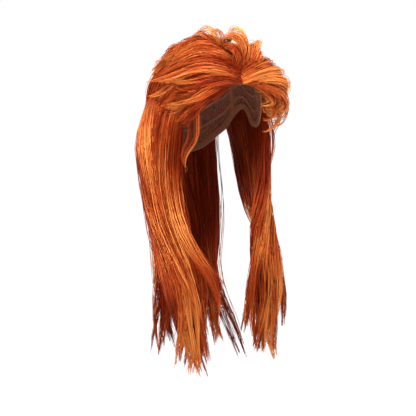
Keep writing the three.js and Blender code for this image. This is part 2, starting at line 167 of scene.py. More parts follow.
def off_head(direction, lift):
    normal = direction / HEAD
    normal /= np.linalg.norm(normal)
    return direction * HEAD + normal * lift - (0, 0, CROWN_HEIGHT), normal


def shade_smooth(mesh, smooth_faces=True):
    mesh.polygons.foreach_set("use_smooth", [smooth_faces] * len(mesh.polygons))


def tidy_mesh(name, build, material):
    """A new piece from a bmesh that build fills, with its faces pointing outwards."""
    bm = bmesh.new()
    build(bm)
    bmesh.ops.remove_doubles(bm, verts=bm.verts, dist=1e-6)
    bmesh.ops.recalc_face_normals(bm, faces=bm.faces)
    mesh = bpy.data.meshes.new(name)
    bm.to_mesh(mesh)
    bm.free()
    mesh.materials.append(material)
    shade_smooth(mesh)
    return placed(name, mesh)


def dome(bm, outer_lift, inner_lift, reach):
    """A closed shell over the head, down to a share of the way to the cap's edge."""
    rings = []
    down_rows = range(CAP_ROWS + 1)
    for lift, rows in ((outer_lift, down_rows), (inner_lift, down_rows[::-1])):
        for row in rows:
            share = row / CAP_ROWS
            ring = []
            for k in range(CAP_TURNS):
                turn = 360 * k / CAP_TURNS - 180
                down = max(share, CAP_POLE) ** 2 * cap_edge(turn) * reach
                ring.append(bm.verts.new(off_head(head_direction(turn, down), lift)[0]))
            rings.append(ring)
    for upper, lower in zip(rings, rings[1:]):
        for k in range(CAP_TURNS):
            m = (k + 1) % CAP_TURNS
            bm.faces.new((upper[k], upper[m], lower[m], lower[k]))
    bm.faces.new(rings[0])
    bm.faces.new(rings[-1][::-1])


def cap_dome(bm):
    dome(bm, CAP_WALL, 0, 1)


def add(tree, kind, inputs=(), **settings):
    """A new node with its settings made, and each input set or joined to another node's output."""
    made = tree.nodes.new(kind)
    for key, value in settings.items():
        setattr(made, key, value)
    return join(tree, made, inputs)


def colour_ramp(tree, value, *stops):
    """The colour that a value stands for, between stops that each have a place and a colour."""
    made = add(tree, "ShaderNodeValToRGB", {"Fac": value})
    elements = made.color_ramp.elements
    for number, (place, colour) in enumerate(stops):
        stop = elements[number] if number < 2 else elements.new(place)
        stop.position = place
        stop.color = (*colour, 1)
    return made.outputs["Color"]


def cap_net_material():
    """A diamond net of fine cord on the cap's own UV map, over the hair seen through it, painted in warm
    streaks and darkened as painted shade.
    """
    net, tree, shader = new_material("cap_net")
    place = add(tree, "ShaderNodeUVMap", uv_map="cloth").outputs["UV"]
    cords = []
    for lean in (NET_LEAN, -NET_LEAN):
        turned = add(tree, "ShaderNodeMapping", {"Vector": place, "Rotation": (0, 0, math.radians(lean))})
        wave = {"Vector": turned.outputs["Vector"], "Scale": NET_CORDS_PER_METRE / BANDS_AT_ONE}
        cords.append(add(tree, "ShaderNodeTexWave", wave).outputs["Fac"])
    crossed = add(tree, "ShaderNodeMath", enumerate(cords), operation="MAXIMUM").outputs[0]
    edge = {"Value": crossed, "From Min": 0.7, "From Max": 0.95}
    cord = add(tree, "ShaderNodeMapRange", edge, interpolation_type="SMOOTHSTEP").outputs["Result"]
    drawn = add(tree, "ShaderNodeMapping", {"Vector": place, "Scale": (1, 0.06, 1)}).outputs["Vector"]
    streaks = add(tree, "ShaderNodeTexNoise", {"Vector": drawn, "Scale": 900}).outputs["Fac"]
    # The hair seen through the net: its colour, in streaks, darkened below the fibre's own colours as painted
    # shade.
    hair_behind_in_painted_shade = colour_ramp(tree, streaks, (0.35, (0.05, 0.008, 0.002)), (0.68, (0.36, 0.06, 0.012)))
    colour = add(tree, "ShaderNodeMix", {0: cord, 6: hair_behind_in_painted_shade, 7: NET_COLOUR}, data_type="RGBA").outputs[2]
    raised = add(tree, "ShaderNodeBump", {"Height": cord, "Strength": 0.8, "Distance": NET_DEPTH})
    join(tree, shader, {"Base Color": colour, "Normal": raised.outputs["Normal"], "Roughness": 0.8})
    return net


def lay_cloth_map(piece):
    """The cap's UV map: round the head and down it, both in metres."""
    mesh = piece.data
    layer = mesh.uv_layers.new(name="cloth")
    for face in mesh.polygons:
        places = []
        for corner in face.loop_indices:
            x, y, z = mesh.vertices[mesh.loops[corner].vertex_index].co
            places.append((math.atan2(x, -y), math.acos(np.clip((z + CROWN_HEIGHT) / HEAD[2], -1, 1))))
        first = places[0][0]
        for corner, (turn, down) in zip(face.loop_indices, places):
            turn += math.tau * round((first - turn) / math.tau)
            layer.data[corner].uv = (turn * HEAD[0], down * HEAD[2])


cap_net = cap_net_material()
cap_shell = tidy_mesh("cap_shell", cap_dome, cap_net)
lay_cloth_map(cap_shell)
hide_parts("cap")
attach(cap_shell, "root")

# The cap's tapes: flat woven tapes sewn inside the net, level ones under the rows of hair, upright ones that
# carry them from the crown to the edge, and a broader one that binds the edge. Each is held by a zigzag seam.
TAPE_THICKNESS = 0.0009
LEVEL_TAPE = 0.004
UPRIGHT_TAPE = 0.007
EDGE_TAPE = 0.009
EDGE_TAPE_INSET = 0.035
LEVELS = 6
LEVEL_POINTS = 72
LEVEL_CROWDING = 1.4
EDGE_POINTS = 144
UPRIGHT_POINTS = 24
UPRIGHT_REACH = (0.03, 0.97)
UPRIGHTS = (-150, -110, -70, -30, 0, 30, 70, 110, 150, 180)
STITCH = 0.0026
STITCH_SHARE = 0.32
THREAD_RADIUS = 0.00028
THREAD_SIDES = 3
RIB_DEPTH = 0.0004


def tape_lines():
    """Each tape's middle line as turns and downs, its width and whether it closes on itself."""
    lines = []
    turns = np.linspace(-180, 180, LEVEL_POINTS + 1)[:-1]
    for level in range(1, LEVELS + 1):
        share = (level / (LEVELS + 1)) ** LEVEL_CROWDING
        lines.append(([(turn, share * cap_edge(turn)) for turn in turns], LEVEL_TAPE, True))
    for turn in UPRIGHTS:
        shares = np.linspace(*UPRIGHT_REACH, UPRIGHT_POINTS)
        lines.append(([(turn, share * cap_edge(turn)) for share in shares], UPRIGHT_TAPE, False))
    turns = np.linspace(-180, 180, EDGE_POINTS + 1)[:-1]
    lines.append(([(turn, cap_edge(turn) - EDGE_TAPE_INSET) for turn in turns], EDGE_TAPE, True))
    return lines


def tape_face(width):
    """How far a tape's face stands inside the net. The upright and edge tapes lie over the level ones."""
    return TAPE_THICKNESS * (1 if width == LEVEL_TAPE else 1.6)


def across_tape(middles, normals, closed):
    if closed:
        along = np.roll(middles, -1, axis=0) - np.roll(middles, 1, axis=0)
    else:
        along = np.gradient(middles, axis=0)
    across = np.cross(normals, along)
    return across / np.linalg.norm(across, axis=1)[:, None]


def tape_strips(bm):
    for line, width, closed in tape_lines():
        spots = [off_head(head_direction(turn, down), 0) for turn, down in line]
        middles, normals = (np.array(part) for part in zip(*spots))
        across = across_tape(middles, normals, closed) * width / 2
        face = -normals * tape_face(width)
        back = normals * CAP_WALL / 4
        rings = []
        for corner in (across + face, -across + face, -across + back, across + back):
            rings.append([bm.verts.new(spot) for spot in middles + corner])
        rings = list(zip(*rings))
        count = len(rings)
        for i in range(count if closed else count - 1):
            near, far = rings[i], rings[(i + 1) % count]
            for k in range(4):
                m = (k + 1) % 4
                bm.faces.new((near[k], near[m], far[m], far[k]))
        if not closed:
            bm.faces.new(rings[0][::-1])
            bm.faces.new(rings[-1])


def seam_lines():
    """The zigzag of thread along each tape, as one mesh of edges."""
    points, edges = [], []
    for line, width, closed in tape_lines():
        if closed:
            line = line + line[:1]
        face = -tape_face(width)
        spots = np.array([off_head(head_direction(turn, down), face)[0] for turn, down in line])
        reach = np.concatenate([[0], np.cumsum(np.linalg.norm(np.diff(spots, axis=0), axis=1))])
        places = np.arange(0, reach[-1], STITCH)
        middles = np.stack([np.interp(places, reach, spots[:, k]) for k in range(3)], axis=1)
        normals = (middles + (0, 0, CROWN_HEIGHT)) / HEAD ** 2
        across = across_tape(middles, normals, False) * width * STITCH_SHARE
        across[1::2] *= -1
        edges.extend((len(points) + i, len(points) + i + 1) for i in range(len(middles) - 1))
        points.extend(middles + across)
    mesh = bpy.data.meshes.new("seam_lines")
    mesh.from_pydata([tuple(p) for p in points], edges, [])
    return mesh


def thread_tree():
    """Geometry nodes that give lines of thread a round section."""
    tree = bpy.data.node_groups.new("thread", "GeometryNodeTree")
    tree.interface.new_socket("Geometry", in_out="INPUT", socket_type="NodeSocketGeometry")
    tree.interface.new_socket("Radius", in_out="INPUT", socket_type="NodeSocketFloat")
    tree.interface.new_socket("Material", in_out="INPUT", socket_type="NodeSocketMaterial")
    tree.interface.new_socket("Geometry", in_out="OUTPUT", socket_type="NodeSocketGeometry")
    given = tree.nodes.new("NodeGroupInput").outputs
    line = add(tree, "GeometryNodeMeshToCurve", {"Mesh": given["Geometry"]}).outputs["Curve"]
    section = {"Resolution": THREAD_SIDES, "Radius": given["Radius"]}
    section = add(tree, "GeometryNodeCurvePrimitiveCircle", section).outputs["Curve"]
    tube = {"Curve": line, "Profile Curve": section, "Fill Caps": True}
    tube = add(tree, "GeometryNodeCurveToMesh", tube).outputs["Mesh"]
    real = add(tree, "GeometryNodeRealizeInstances", {"Geometry": tube}).outputs["Geometry"]
    painted = {"Geometry": real, "Material": given["Material"]}
    painted = add(tree, "GeometryNodeSetMaterial", painted).outputs["Geometry"]
    add(tree, "NodeGroupOutput", {"Geometry": painted})
    return tree


def from_nodes(name, mesh, tree, **inputs):
    """Runs a geometry nodes tree on a mesh and returns what it makes as a plain mesh."""
    holder = placed(name, mesh)
    growth = holder.modifiers.new(name, "NODES")
    growth.node_group = tree
    for item in tree.interface.items_tree:
        if item.in_out == "INPUT" and item.name in inputs:
            growth[item.identifier] = inputs[item.name]
    bpy.context.view_layer.update()
    evaluated = holder.evaluated_get(bpy.context.evaluated_depsgraph_get())
    made = bpy.data.meshes.new_from_object(evaluated)
    bpy.data.objects.remove(holder)
    return made


def woven(name, grain, dark, light):
    """Woven tape or twisted thread: a fine grain between two close colours, raised a little."""
    material, tree, shader = new_material(name)
    place = add(tree, "ShaderNodeTexCoord").outputs["Object"]
    ribs = add(tree, "ShaderNodeTexNoise", {"Vector": place, "Scale": grain}).outputs["Fac"]
    raised = add(tree, "ShaderNodeBump", {"Height": ribs, "Strength": 0.5, "Distance": RIB_DEPTH})
    colour = colour_ramp(tree, ribs, (0, dark), (1, light))
    join(tree, shader, {"Base Color": colour, "Normal": raised.outputs["Normal"], "Roughness": 0.75})
    return material


tape = woven("cap_tape", 700, (0.12, 0.035, 0.012), (0.26, 0.08, 0.03))
cap_tapes = tidy_mesh("cap_tapes", tape_strips, tape)
shade_smooth(cap_tapes.data, False)
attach(cap_tapes, "root")

thread = woven("cap_thread", 1400, (0.24, 0.08, 0.03), (0.44, 0.18, 0.08))
seams = from_nodes("seams", seam_lines(), thread_tree(), Radius=THREAD_RADIUS, Material=thread)
cap_seams = placed("cap_seams", seams)
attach(cap_seams, "root")

# The crown: the top layer of short fibre, sewn in a whorl. Two tufts stand up and curl over behind the
# fringe, a fan is brushed over to the wearer's right, and the rest falls back and down all round.
TOP_LIFT = 0.04
BACKING_LIFT = 0.0056
LOCK_WIDTH = 0.03
LOCK_THICKNESS = 0.013
SHORT_STATIONS = 10
CURL_STATIONS = 4
CURL_START = 0.5
CURL_POWER = 1.3
# A lock that curls by more degrees than this has stations of its own for it.
CURLED = 45
# In every three locks of a fan: how far each reaches, and how high it stands.
FAN_REACH = (0.85, 0.95, 1.05)
FAN_LIFT = (0.72, 1.0, 1.22)
# How far a lock of a fan may stray in length, lift, flick, width, curl and bow.
FAN_STRAYS = (0.06, 0.1, 0.06, 0.15, 25, 0.07)
Lock = namedtuple("Lock", "turn down to_turn to_down lift flick wide curl bow", defaults=(0, 0))
# along, breadth, thickness, share of the lift, share of the flick
SHORT_LOCK = [
    (0, 0.62, 0.4, 0, 0),
    (0.2, 0.85, 0.85, 0.58, 0),
    (0.42, 1, 1, 1, 0),
    (0.65, 0.9, 0.9, 0.98, 0.2),
    (0.84, 0.55, 0.55, 0.88, 0.6),
    (1, 0.15, 0.15, 0.78, 1),
]
CROWN_HUMP = [
    Lock(14, 0.08, -92, 0.27, 0.38, -0.2, 0.65, 0, -0.05),
    Lock(-5, 0.14, -90, 0.33, 0.44, -0.22, 0.65, 0, -0.05),
    Lock(-2, 0.2, -88, 0.38, 0.46, -0.24, 0.65, 10, -0.05),
    Lock(0, 0.26, -94, 0.46, 0.42, -0.24, 0.65, 15, -0.05),
    Lock(-1, 0.31, -98, 0.56, 0.36, -0.22, 0.65, 20, -0.05),
]
CROWN_TUFTS = [
    Lock(4, 0.3, -14, 0.1, 0.62, 0, 0.8, -50),
    Lock(10, 0.3, -26, 0.05, 0.95, 0, 0.6, -120),
    Lock(14, 0.28, -8, 0.04, 0.82, 0, 0.6, -130),
    Lock(8, 0.36, 40, 0.2, 0.8, 0, 0.55, -90),
    Lock(12, 0.34, 46, 0.14, 0.8, 0, 0.5, -120),
    Lock(6, 0.34, 26, 0.1, 0.72, 0, 0.7, -80),
]
CROWN_WISPS = [
    Lock(-16, 0.12, -72, 0.06, 1.0, 0, 0.2, -120),
    Lock(-20, 0.1, -86, 0.1, 0.82, 0, 0.2, -80),
    Lock(-10, 0.12, -40, 0.05, 0.95, 0, 0.2, -150),
    Lock(16, 0.26, -18, 0.04, 1.1, 0, 0.2, -150),
    Lock(10, 0.3, 52, 0.16, 1.0, 0, 0.2, -130),
    Lock(-50, 0.14, -96, 0.34, 0.55, 0, 0.2, -200),
    Lock(-54, 0.18, -94, 0.4, 0.5, 0, 0.2, -170),
    Lock(-100, 0.16, -130, 0.36, 0.3, 0.05, 0.25, 60),
    Lock(60, 0.2, 92, 0.36, 0.5, 0.05, 0.25, -120),
    Lock(120, 0.16, 138, 0.4, 0.55, 0.1, 0.25, 70),
]
CROWN_SWEEP = [
    Lock(22, 0.2, -110, 0.14, 0.26, 0, 1.1, 10),
    Lock(6, 0.23, -116, 0.26, 0.28, 0, 1.1, 10),
    Lock(-20, 0.22, -114, 0.42, 0.24, 0, 1.1, 15),
]
CROWN_WHORL = [
    Lock(-70, 0.04, -106, 0.44, 0.12, 0, 1.2, 5),
    Lock(-110, 0.04, -136, 0.48, 0.12, 0, 1.2, 10),
    Lock(-165, 0.03, -172, 0.5, 0.26, 0.05, 1.2, 20),
    Lock(-220, 0.03, -212, 0.5, 0.28, 0.05, 1.2, 20),
    Lock(-276, 0.04, -252, 0.42, 0.26, 0, 1.2, 10),
    Lock(-316, 0.06, -290, 0.34, 0.24, 0, 1.2, -20),
]
CROWN_TOP = [
    Lock(60, 0.07, -130, 0.28, 0.2, 0, 1, 10),
    Lock(20, 0.06, -165, 0.34, 0.22, 0, 1, 10),
    Lock(-20, 0.06, -200, 0.34, 0.22, 0, 1, 10),
    Lock(-60, 0.07, -240, 0.28, 0.2, 0, 1, 10),
]
CROWN_OVER = [
    Lock(-80, 0.06, -118, 0.4, 0.2, -0.1, 0.7, 10),
    Lock(-120, 0.06, -144, 0.46, 0.22, 0, 0.75, 15),
    Lock(-165, 0.05, -174, 0.52, 0.4, 0, 0.75, 25),
    Lock(-220, 0.05, -208, 0.52, 0.42, 0, 0.75, 25),
    Lock(-276, 0.06, -250, 0.44, 0.32, 0, 0.75, 15),
    Lock(-316, 0.08, -284, 0.36, 0.28, 0, 0.75, -20),
]


def fan(rows, between, seed, wobble=3.0):
    """The locks of a fan: its rows and some more between each two, each a little out of line."""
    dice = np.random.default_rng(seed)
    rows = np.array(rows, float)
    made = []
    for k in range((len(rows) - 1) * (between + 1) + 1):
        i, step = divmod(k, between + 1)
        share = step / (between + 1)
        row = rows[i] if share == 0 else rows[i] * (1 - share) + rows[i + 1] * share
        turn, down, to_turn, to_down, lift, flick, wide, curl, bow = row
        shift = dice.uniform(-1, 1, 8) * (wobble, 2 * wobble, *FAN_STRAYS)
        reach = FAN_REACH[k % 3]
        made.append(Lock(
            turn + shift[0],
            down,
            turn + (to_turn - turn) * reach + shift[1],
            down + (to_down - down) * reach * (1 + shift[2]),
            lift * FAN_LIFT[k % 3] * (1 + shift[3]),
            flick + shift[4],
            wide * (1 + shift[5]),
            curl + shift[6],
            bow + shift[7],
        ))
    return made


def curl_tip(points, sides, degrees, start):
    """Bends the end of a line round its side direction, towards the outside if degrees is more than 0."""
    if not degrees:
        return points
    steps = np.diff(points, axis=0)
    bent = [points[0]]
    for i, step in enumerate(steps):
        along = (i + 0.5) / len(steps)
        turn = math.radians(degrees) * max(0, (along - start) / (1 - start)) ** CURL_POWER
        bent.append(bent[-1] + np.array(Matrix.Rotation(turn, 3, sides[i]) @ Vector(step)))
    return np.array(bent)


def short_line(lock):
    """The middle line of a short lock, with its half breadth and half thickness as vectors."""
    start = head_direction(lock.turn, lock.down)
    end = head_direction(lock.to_turn, lock.to_down)
    angle = math.acos(np.clip(start @ end, -1, 1))
    points, outs, sizes = [], [], []
    stations = SHORT_STATIONS + (CURL_STATIONS if abs(lock.curl) > CURLED else 0)
    for t in np.linspace(0, 1, stations):
        wide, thick, rise, flick = smooth(SHORT_LOCK, t)
        way = (start * math.sin((1 - t) * angle) + end * math.sin(t * angle)) / math.sin(angle)
        way += np.cross(start, end) / math.sin(angle) * lock.bow * math.sin(math.pi * t)
        way /= np.linalg.norm(way)
        lift = BACKING_LIFT * (1 - rise) + lock.lift * TOP_LIFT * rise + lock.flick * TOP_LIFT * flick
        point, normal = off_head(way, lift)
        points.append(point)
        outs.append(normal)
        half_thickness = LOCK_THICKNESS / 2 * min(1, lock.wide + 0.15) * thick
        sizes.append((LOCK_WIDTH / 2 * lock.wide * wide, half_thickness))
    return lay_out(np.array(points), np.array(outs), np.array(sizes), lock.curl, CURL_START)


def lay_out(points, outs, sizes, curl, start):
    tangents = np.gradient(points, axis=0)
    sides = np.cross(tangents, outs)
    sides /= np.linalg.norm(sides, axis=1)[:, None]
    points = curl_tip(points, sides, curl, start)
    tangents = np.gradient(points, axis=0)
    outs = np.cross(sides, tangents)
    outs /= np.linalg.norm(outs, axis=1)[:, None]
    return points, sides * sizes[:, :1], outs * sizes[:, 1:]


def guide_mesh(lines, tones_and_painted_light):
    """The middle lines of a group's locks as one mesh of edges, with what the strands need on its points."""
    counts = [len(line[0]) for line in lines]
    starts = np.cumsum([0] + counts[:-1])
    edges = [(s + i, s + i + 1) for s, count in zip(starts, counts) for i in range(count - 1)]
    points, sides, outs = (np.concatenate([line[k] for line in lines]) for k in range(3))
    mesh = bpy.data.meshes.new("guides")
    mesh.from_pydata(points.tolist(), edges, [])
    # Among what the strands need: each lock's tone, which carries its painted light and shade.
    for name, kind, values in (
        ("side", "FLOAT_VECTOR", sides),
        ("out", "FLOAT_VECTOR", outs),
        ("along", "FLOAT", np.concatenate([np.linspace(0, 1, count) for count in counts])),
        ("lock", "FLOAT", np.repeat(np.arange(len(lines)), counts)),
        ("tone_and_painted_light", "FLOAT", np.concatenate([tone_and_painted_light + np.zeros(count) for tone_and_painted_light, count in zip(tones_and_painted_light, counts)])),
    ):
        layer = mesh.attributes.new(name, kind, "POINT")
        field = "vector" if kind == "FLOAT_VECTOR" else "value"
        layer.data.foreach_set(field, np.ravel(values).astype(np.float32))
    return mesh


def strand_tree():
    """Geometry nodes that grow each guide line into strands, gathered in clumps towards their tips."""
    tree = bpy.data.node_groups.new("strands", "GeometryNodeTree")
    tree.interface.new_socket("Geometry", in_out="INPUT", socket_type="NodeSocketGeometry")
    for name, kind, value in (
        ("Strands", "Int", 100),
        ("Sides", "Int", 3),
        ("Radius", "Float", 0.0004),
        ("Clumps", "Int", 6),
        ("Gather", "Float", 0.8),
        ("Wave", "Float", 0.003),
        ("Waves", "Float", 2.0),
        ("Shortest", "Float", 0.66),
        ("Spread", "Float", 1.0),
        ("Stray", "Float", 0.7),
        ("Seed", "Int", 0),
    ):
        socket = tree.interface.new_socket(name, in_out="INPUT", socket_type="NodeSocket" + kind)
        socket.default_value = value
    tree.interface.new_socket("Material", in_out="INPUT", socket_type="NodeSocketMaterial")
    tree.interface.new_socket("Geometry", in_out="OUTPUT", socket_type="NodeSocketGeometry")
    given = tree.nodes.new("NodeGroupInput").outputs

    def node(kind, inputs=(), **settings):
        return add(tree, kind, inputs, **settings)

    def maths(operation, *values):
        return node("ShaderNodeMath", enumerate(values), operation=operation).outputs[0]

    def times(a, b):
        return maths("MULTIPLY", a, b)

    def plus(a, b):
        return maths("ADD", a, b)

    def vectors(operation, *values):
        return node("ShaderNodeVectorMath", enumerate(values), operation=operation).outputs["Vector"]

    def scaled(vector, factor):
        given_vector = {"Vector": vector, "Scale": factor}
        return node("ShaderNodeVectorMath", given_vector, operation="SCALE").outputs["Vector"]

    def mixed(a, b, share):
        return plus(a, times(maths("SUBTRACT", b, a), share))

    def parts(vector):
        return node("ShaderNodeSeparateXYZ", {0: vector}).outputs

    def joined(x, y, z):
        return node("ShaderNodeCombineXYZ", {0: x, 1: y, 2: z}).outputs[0]

    def read(name, kind="FLOAT"):
        return node("GeometryNodeInputNamedAttribute", {"Name": name}, data_type=kind).outputs[0]

    def kept(geometry, name, value, kind="FLOAT", domain="POINT"):
        stored = {"Geometry": geometry, "Name": name, "Value": value}
        made = node("GeometryNodeStoreNamedAttribute", stored, data_type=kind, domain=domain)
        return made.outputs["Geometry"]

    def dice(identity, seed, low=-1.0, high=1.0):
        drawn = {"Min": (low,) * 3, "Max": (high,) * 3, "ID": identity}
        drawn["Seed"] = plus(given["Seed"], seed)
        return node("FunctionNodeRandomValue", drawn, data_type="FLOAT_VECTOR").outputs["Value"]

    def ramp(value, a, b, to_a=0.0, to_b=1.0):
        places = {"Value": value, "From Min": a, "From Max": b, "To Min": to_a, "To Max": to_b}
        return node("ShaderNodeMapRange", places, interpolation_type="SMOOTHSTEP").outputs["Result"]

    def noise(x, y, z):
        """Smooth noise as a vector that is about nought in the middle."""
        place = {"Vector": joined(x, y, z), "Scale": 1.0, "Detail": 0.0}
        return vectors("ADD", node("ShaderNodeTexNoise", place).outputs["Color"], (-0.5, -0.5, -0.5))

    lines = node("GeometryNodeMeshToCurve", {"Mesh": given["Geometry"]}).outputs["Curve"]
    copies = {"Geometry": lines, "Amount": given["Strands"]}
    strands = node("GeometryNodeDuplicateElements", copies, domain="SPLINE").outputs["Geometry"]
    which = node("GeometryNodeInputIndex").outputs[0]
    strands = kept(strands, "spot", dice(which, 1), "FLOAT_VECTOR", "CURVE")
    pick = times(parts(dice(which, 2, 0.0, 1.0))[0], given["Clumps"])
    clump = plus(maths("FLOOR", pick), times(read("lock"), 61.0))
    strands = kept(strands, "clump", clump, "FLOAT", "CURVE")
    clump = read("clump")
    strands = kept(strands, "clump_spot", dice(clump, 3), "FLOAT_VECTOR", "CURVE")
    strands = kept(strands, "clump_more", dice(clump, 4, 0.0, 1.0), "FLOAT_VECTOR", "CURVE")
    spot, clump_spot, clump_more = (read(n, "FLOAT_VECTOR") for n in ("spot", "clump_spot", "clump_more"))

    # Clumps end at different places, and so do the strands in a clump.
    clump_cut = maths("POWER", parts(clump_more)[0], 1.6)
    strand_cut = maths("POWER", maths("ABSOLUTE", parts(spot)[2]), 1.5)
    cut = plus(times(clump_cut, 0.45), times(strand_cut, 0.55))
    end = maths("SUBTRACT", 1.0, times(maths("SUBTRACT", 1.0, given["Shortest"]), cut))
    strands = node("GeometryNodeTrimCurve", {"Curve": strands, "End": end}, mode="FACTOR").outputs["Curve"]

    # Each strand has a place of its own in the lock's section, mostly near its skin, and nears its clump's.
    way = node("GeometryNodeSplineParameter").outputs["Factor"]
    across, depth, _ = parts(spot)
    skin = maths("SQRT", maths("MAXIMUM", maths("SUBTRACT", 1.12, times(across, across)), 0.0))
    pushed = times(maths("SIGN", depth), maths("POWER", maths("ABSOLUTE", depth), 0.4))
    depth = times(pushed, skin)
    loose = maths("GREATER_THAN", maths("ABSOLUTE", parts(spot)[2]), 0.86)
    pull = times(ramp(way, 0.1, 0.95), given["Gather"])
    pull = times(pull, maths("SUBTRACT", 1.0, times(loose, 0.6)))
    clump_across = plus(parts(clump_spot)[0], times(across, 0.14))
    clump_depth = plus(parts(clump_spot)[1], times(depth, 0.25))
    astray = plus(1.0, times(times(loose, way), given["Stray"]))
    across = times(mixed(across, clump_across, pull), times(astray, given["Spread"]))
    depth = times(mixed(depth, clump_depth, pull), astray)
    sideways = scaled(read("side", "FLOAT_VECTOR"), across)
    offset = vectors("ADD", sideways, scaled(read("out", "FLOAT_VECTOR"), depth))

    # Waves: slow ones that a whole clump shares, and small ones of each strand.
    swing = times(read("along"), given["Waves"])
    lane = times(parts(clump_more)[1], 40.0)
    shared = noise(swing, lane, times(read("lock"), 0.45))
    alone = noise(times(swing, 2.2), times(parts(spot)[0], 60.0), 7.3)
    grown = times(ramp(way, 0.0, 0.7), given["Wave"])
    offset = vectors("ADD", offset, scaled(shared, times(grown, 4.0)))
    offset = vectors("ADD", offset, scaled(alone, times(grown, 0.7)))
    strands = node("GeometryNodeSetPosition", {"Geometry": strands, "Offset": offset}).outputs["Geometry"]

    # The colour's tone: each clump and each strand has its own, on top of its lock's tone with the painted
    # light and shade that it carries.
    tone = times(parts(clump_more)[2], 0.36)
    tone = plus(tone, times(parts(spot)[1], 0.08))
    tone = plus(plus(tone, times(parts(spot)[2], 0.06)), read("tone_and_painted_light"))
    strands = kept(strands, "tone", tone)
    strands = kept(strands, "length", way)
    thickness = times(ramp(way, 0.6, 1.0, 1.0, 0.5), given["Radius"])
    strands = node("GeometryNodeSetCurveRadius", {"Curve": strands, "Radius": thickness}).outputs["Curve"]
    section = {"Resolution": given["Sides"], "Radius": 1.0}
    section = node("GeometryNodeCurvePrimitiveCircle", section).outputs["Curve"]
    tube = {"Curve": strands, "Profile Curve": section, "Fill Caps": True}
    tube["Scale"] = node("GeometryNodeInputRadius").outputs[0]
    tube = node("GeometryNodeCurveToMesh", tube).outputs["Mesh"]
    rounded = node("GeometryNodeSetShadeSmooth", {"Geometry": tube}).outputs["Geometry"]
    real = node("GeometryNodeRealizeInstances", {"Geometry": rounded}).outputs["Geometry"]
    painted = {"Geometry": real, "Material": given["Material"]}
    painted = node("GeometryNodeSetMaterial", painted).outputs["Geometry"]
    node("NodeGroupOutput", {"Geometry": painted})
    return tree


strands_tree = strand_tree()


def grown_mesh(lines, tones_and_painted_light, material, **sizes):
    """Grows the strands of a group's locks and returns them as a plain mesh."""
    mesh = from_nodes("strands", guide_mesh(lines, tones_and_painted_light), strands_tree, Material=material, **sizes)
    for name in [a.name for a in mesh.attributes]:
        if name in ("side", "out", "lock", "along", "tone_and_painted_light", "spot", "clump", "clump_spot", "clump_more"):
            mesh.attributes.remove(mesh.attributes[name])
    return mesh


# Locks of this few strands have no core.
THIN = 20
CORE_SIDES = 8
CORE_BREADTH = 0.8
CORE_THICKNESS = 0.5
CORE_REACH = 0.72
# The cores are painted dark as shade, so the gaps between strands show painted shade.
CORE_PAINTED_SHADE = -0.5


def mark_fibre(mesh, tones):
    """Gives a solid the values that the fibre's colour reads, and smooth shading."""
    for name, values in (("tone", tones), ("length", [1.0] * len(tones))):
        mesh.attributes.new(name, "FLOAT", "POINT").data.foreach_set("value", np.array(values, np.float32))
    shade_smooth(mesh)


def core_mesh(lines, tones_and_painted_light):
    """The inside of each lock, painted dark as shade: one smooth solid under its strands that lets no light
    through.
    """
    points, faces, tones = [], [], []
    for (middle, sides, outs), tone_and_painted_light in zip(lines, tones_and_painted_light):
        rings = max(3, round(CORE_REACH * len(middle)))
        start = len(points)
        tone_and_painted_light = tone_and_painted_light + np.zeros(len(middle))
        for i in range(rings):
            shrink = 1 if i < rings - 2 else (0.75 if i == rings - 2 else 0.25)
            for k in range(CORE_SIDES):
                turn = 2 * math.pi * k / CORE_SIDES
                across = sides[i] * CORE_BREADTH * math.cos(turn) + outs[i] * CORE_THICKNESS * math.sin(turn)
                points.append(middle[i] + across * shrink)
                tones.append(CORE_PAINTED_SHADE + tone_and_painted_light[i])
        for i in range(rings - 1):
            for k in range(CORE_SIDES):
                m = (k + 1) % CORE_SIDES
                low, high = start + i * CORE_SIDES, start + (i + 1) * CORE_SIDES
                faces.append((low + k, low + m, high + m, high + k))
        faces.append(tuple(range(start, start + CORE_SIDES)))
        faces.append(tuple(range(start + rings * CORE_SIDES - 1, start + (rings - 1) * CORE_SIDES - 1, -1)))
    mesh = bpy.data.meshes.new("cores")
    mesh.from_pydata([tuple(p) for p in points], [], faces)
    mark_fibre(mesh, tones)
    solid = bmesh.new()
    solid.from_mesh(mesh)
    bmesh.ops.recalc_face_normals(solid, faces=solid.faces)
    solid.to_mesh(mesh)
    solid.free()
    return mesh


ROOT_LAYER_LIFT = 0.0048
ROOT_LAYER_GAP = 0.0003
ROOT_LAYER_REACH = 0.95
# The root layer's tone is lowered as painted shade.
ROOT_LAYER_PAINTED_SHADE = -0.35
ROOT_STREAKS = 40
ROOT_STREAK_TONE = 0.15


def root_layer():
    """The dense roots of all the sewn rows, one layer over the cap that no net shows through, painted dark as
    shade with streaks round the head.
    """
    bm = bmesh.new()
    dome(bm, ROOT_LAYER_LIFT, CAP_WALL + ROOT_LAYER_GAP, ROOT_LAYER_REACH)
    bmesh.ops.recalc_face_normals(bm, faces=bm.faces)
    mesh = bpy.data.meshes.new("root_layer")
    bm.to_mesh(mesh)
    bm.free()
    spots = [vertex.co for vertex in mesh.vertices]
    streaks = [ROOT_STREAK_TONE * math.sin(ROOT_STREAKS * math.atan2(x, -y)) for x, y, _ in spots]
    mark_fibre(mesh, [ROOT_LAYER_PAINTED_SHADE + streak for streak in streaks])
    return mesh


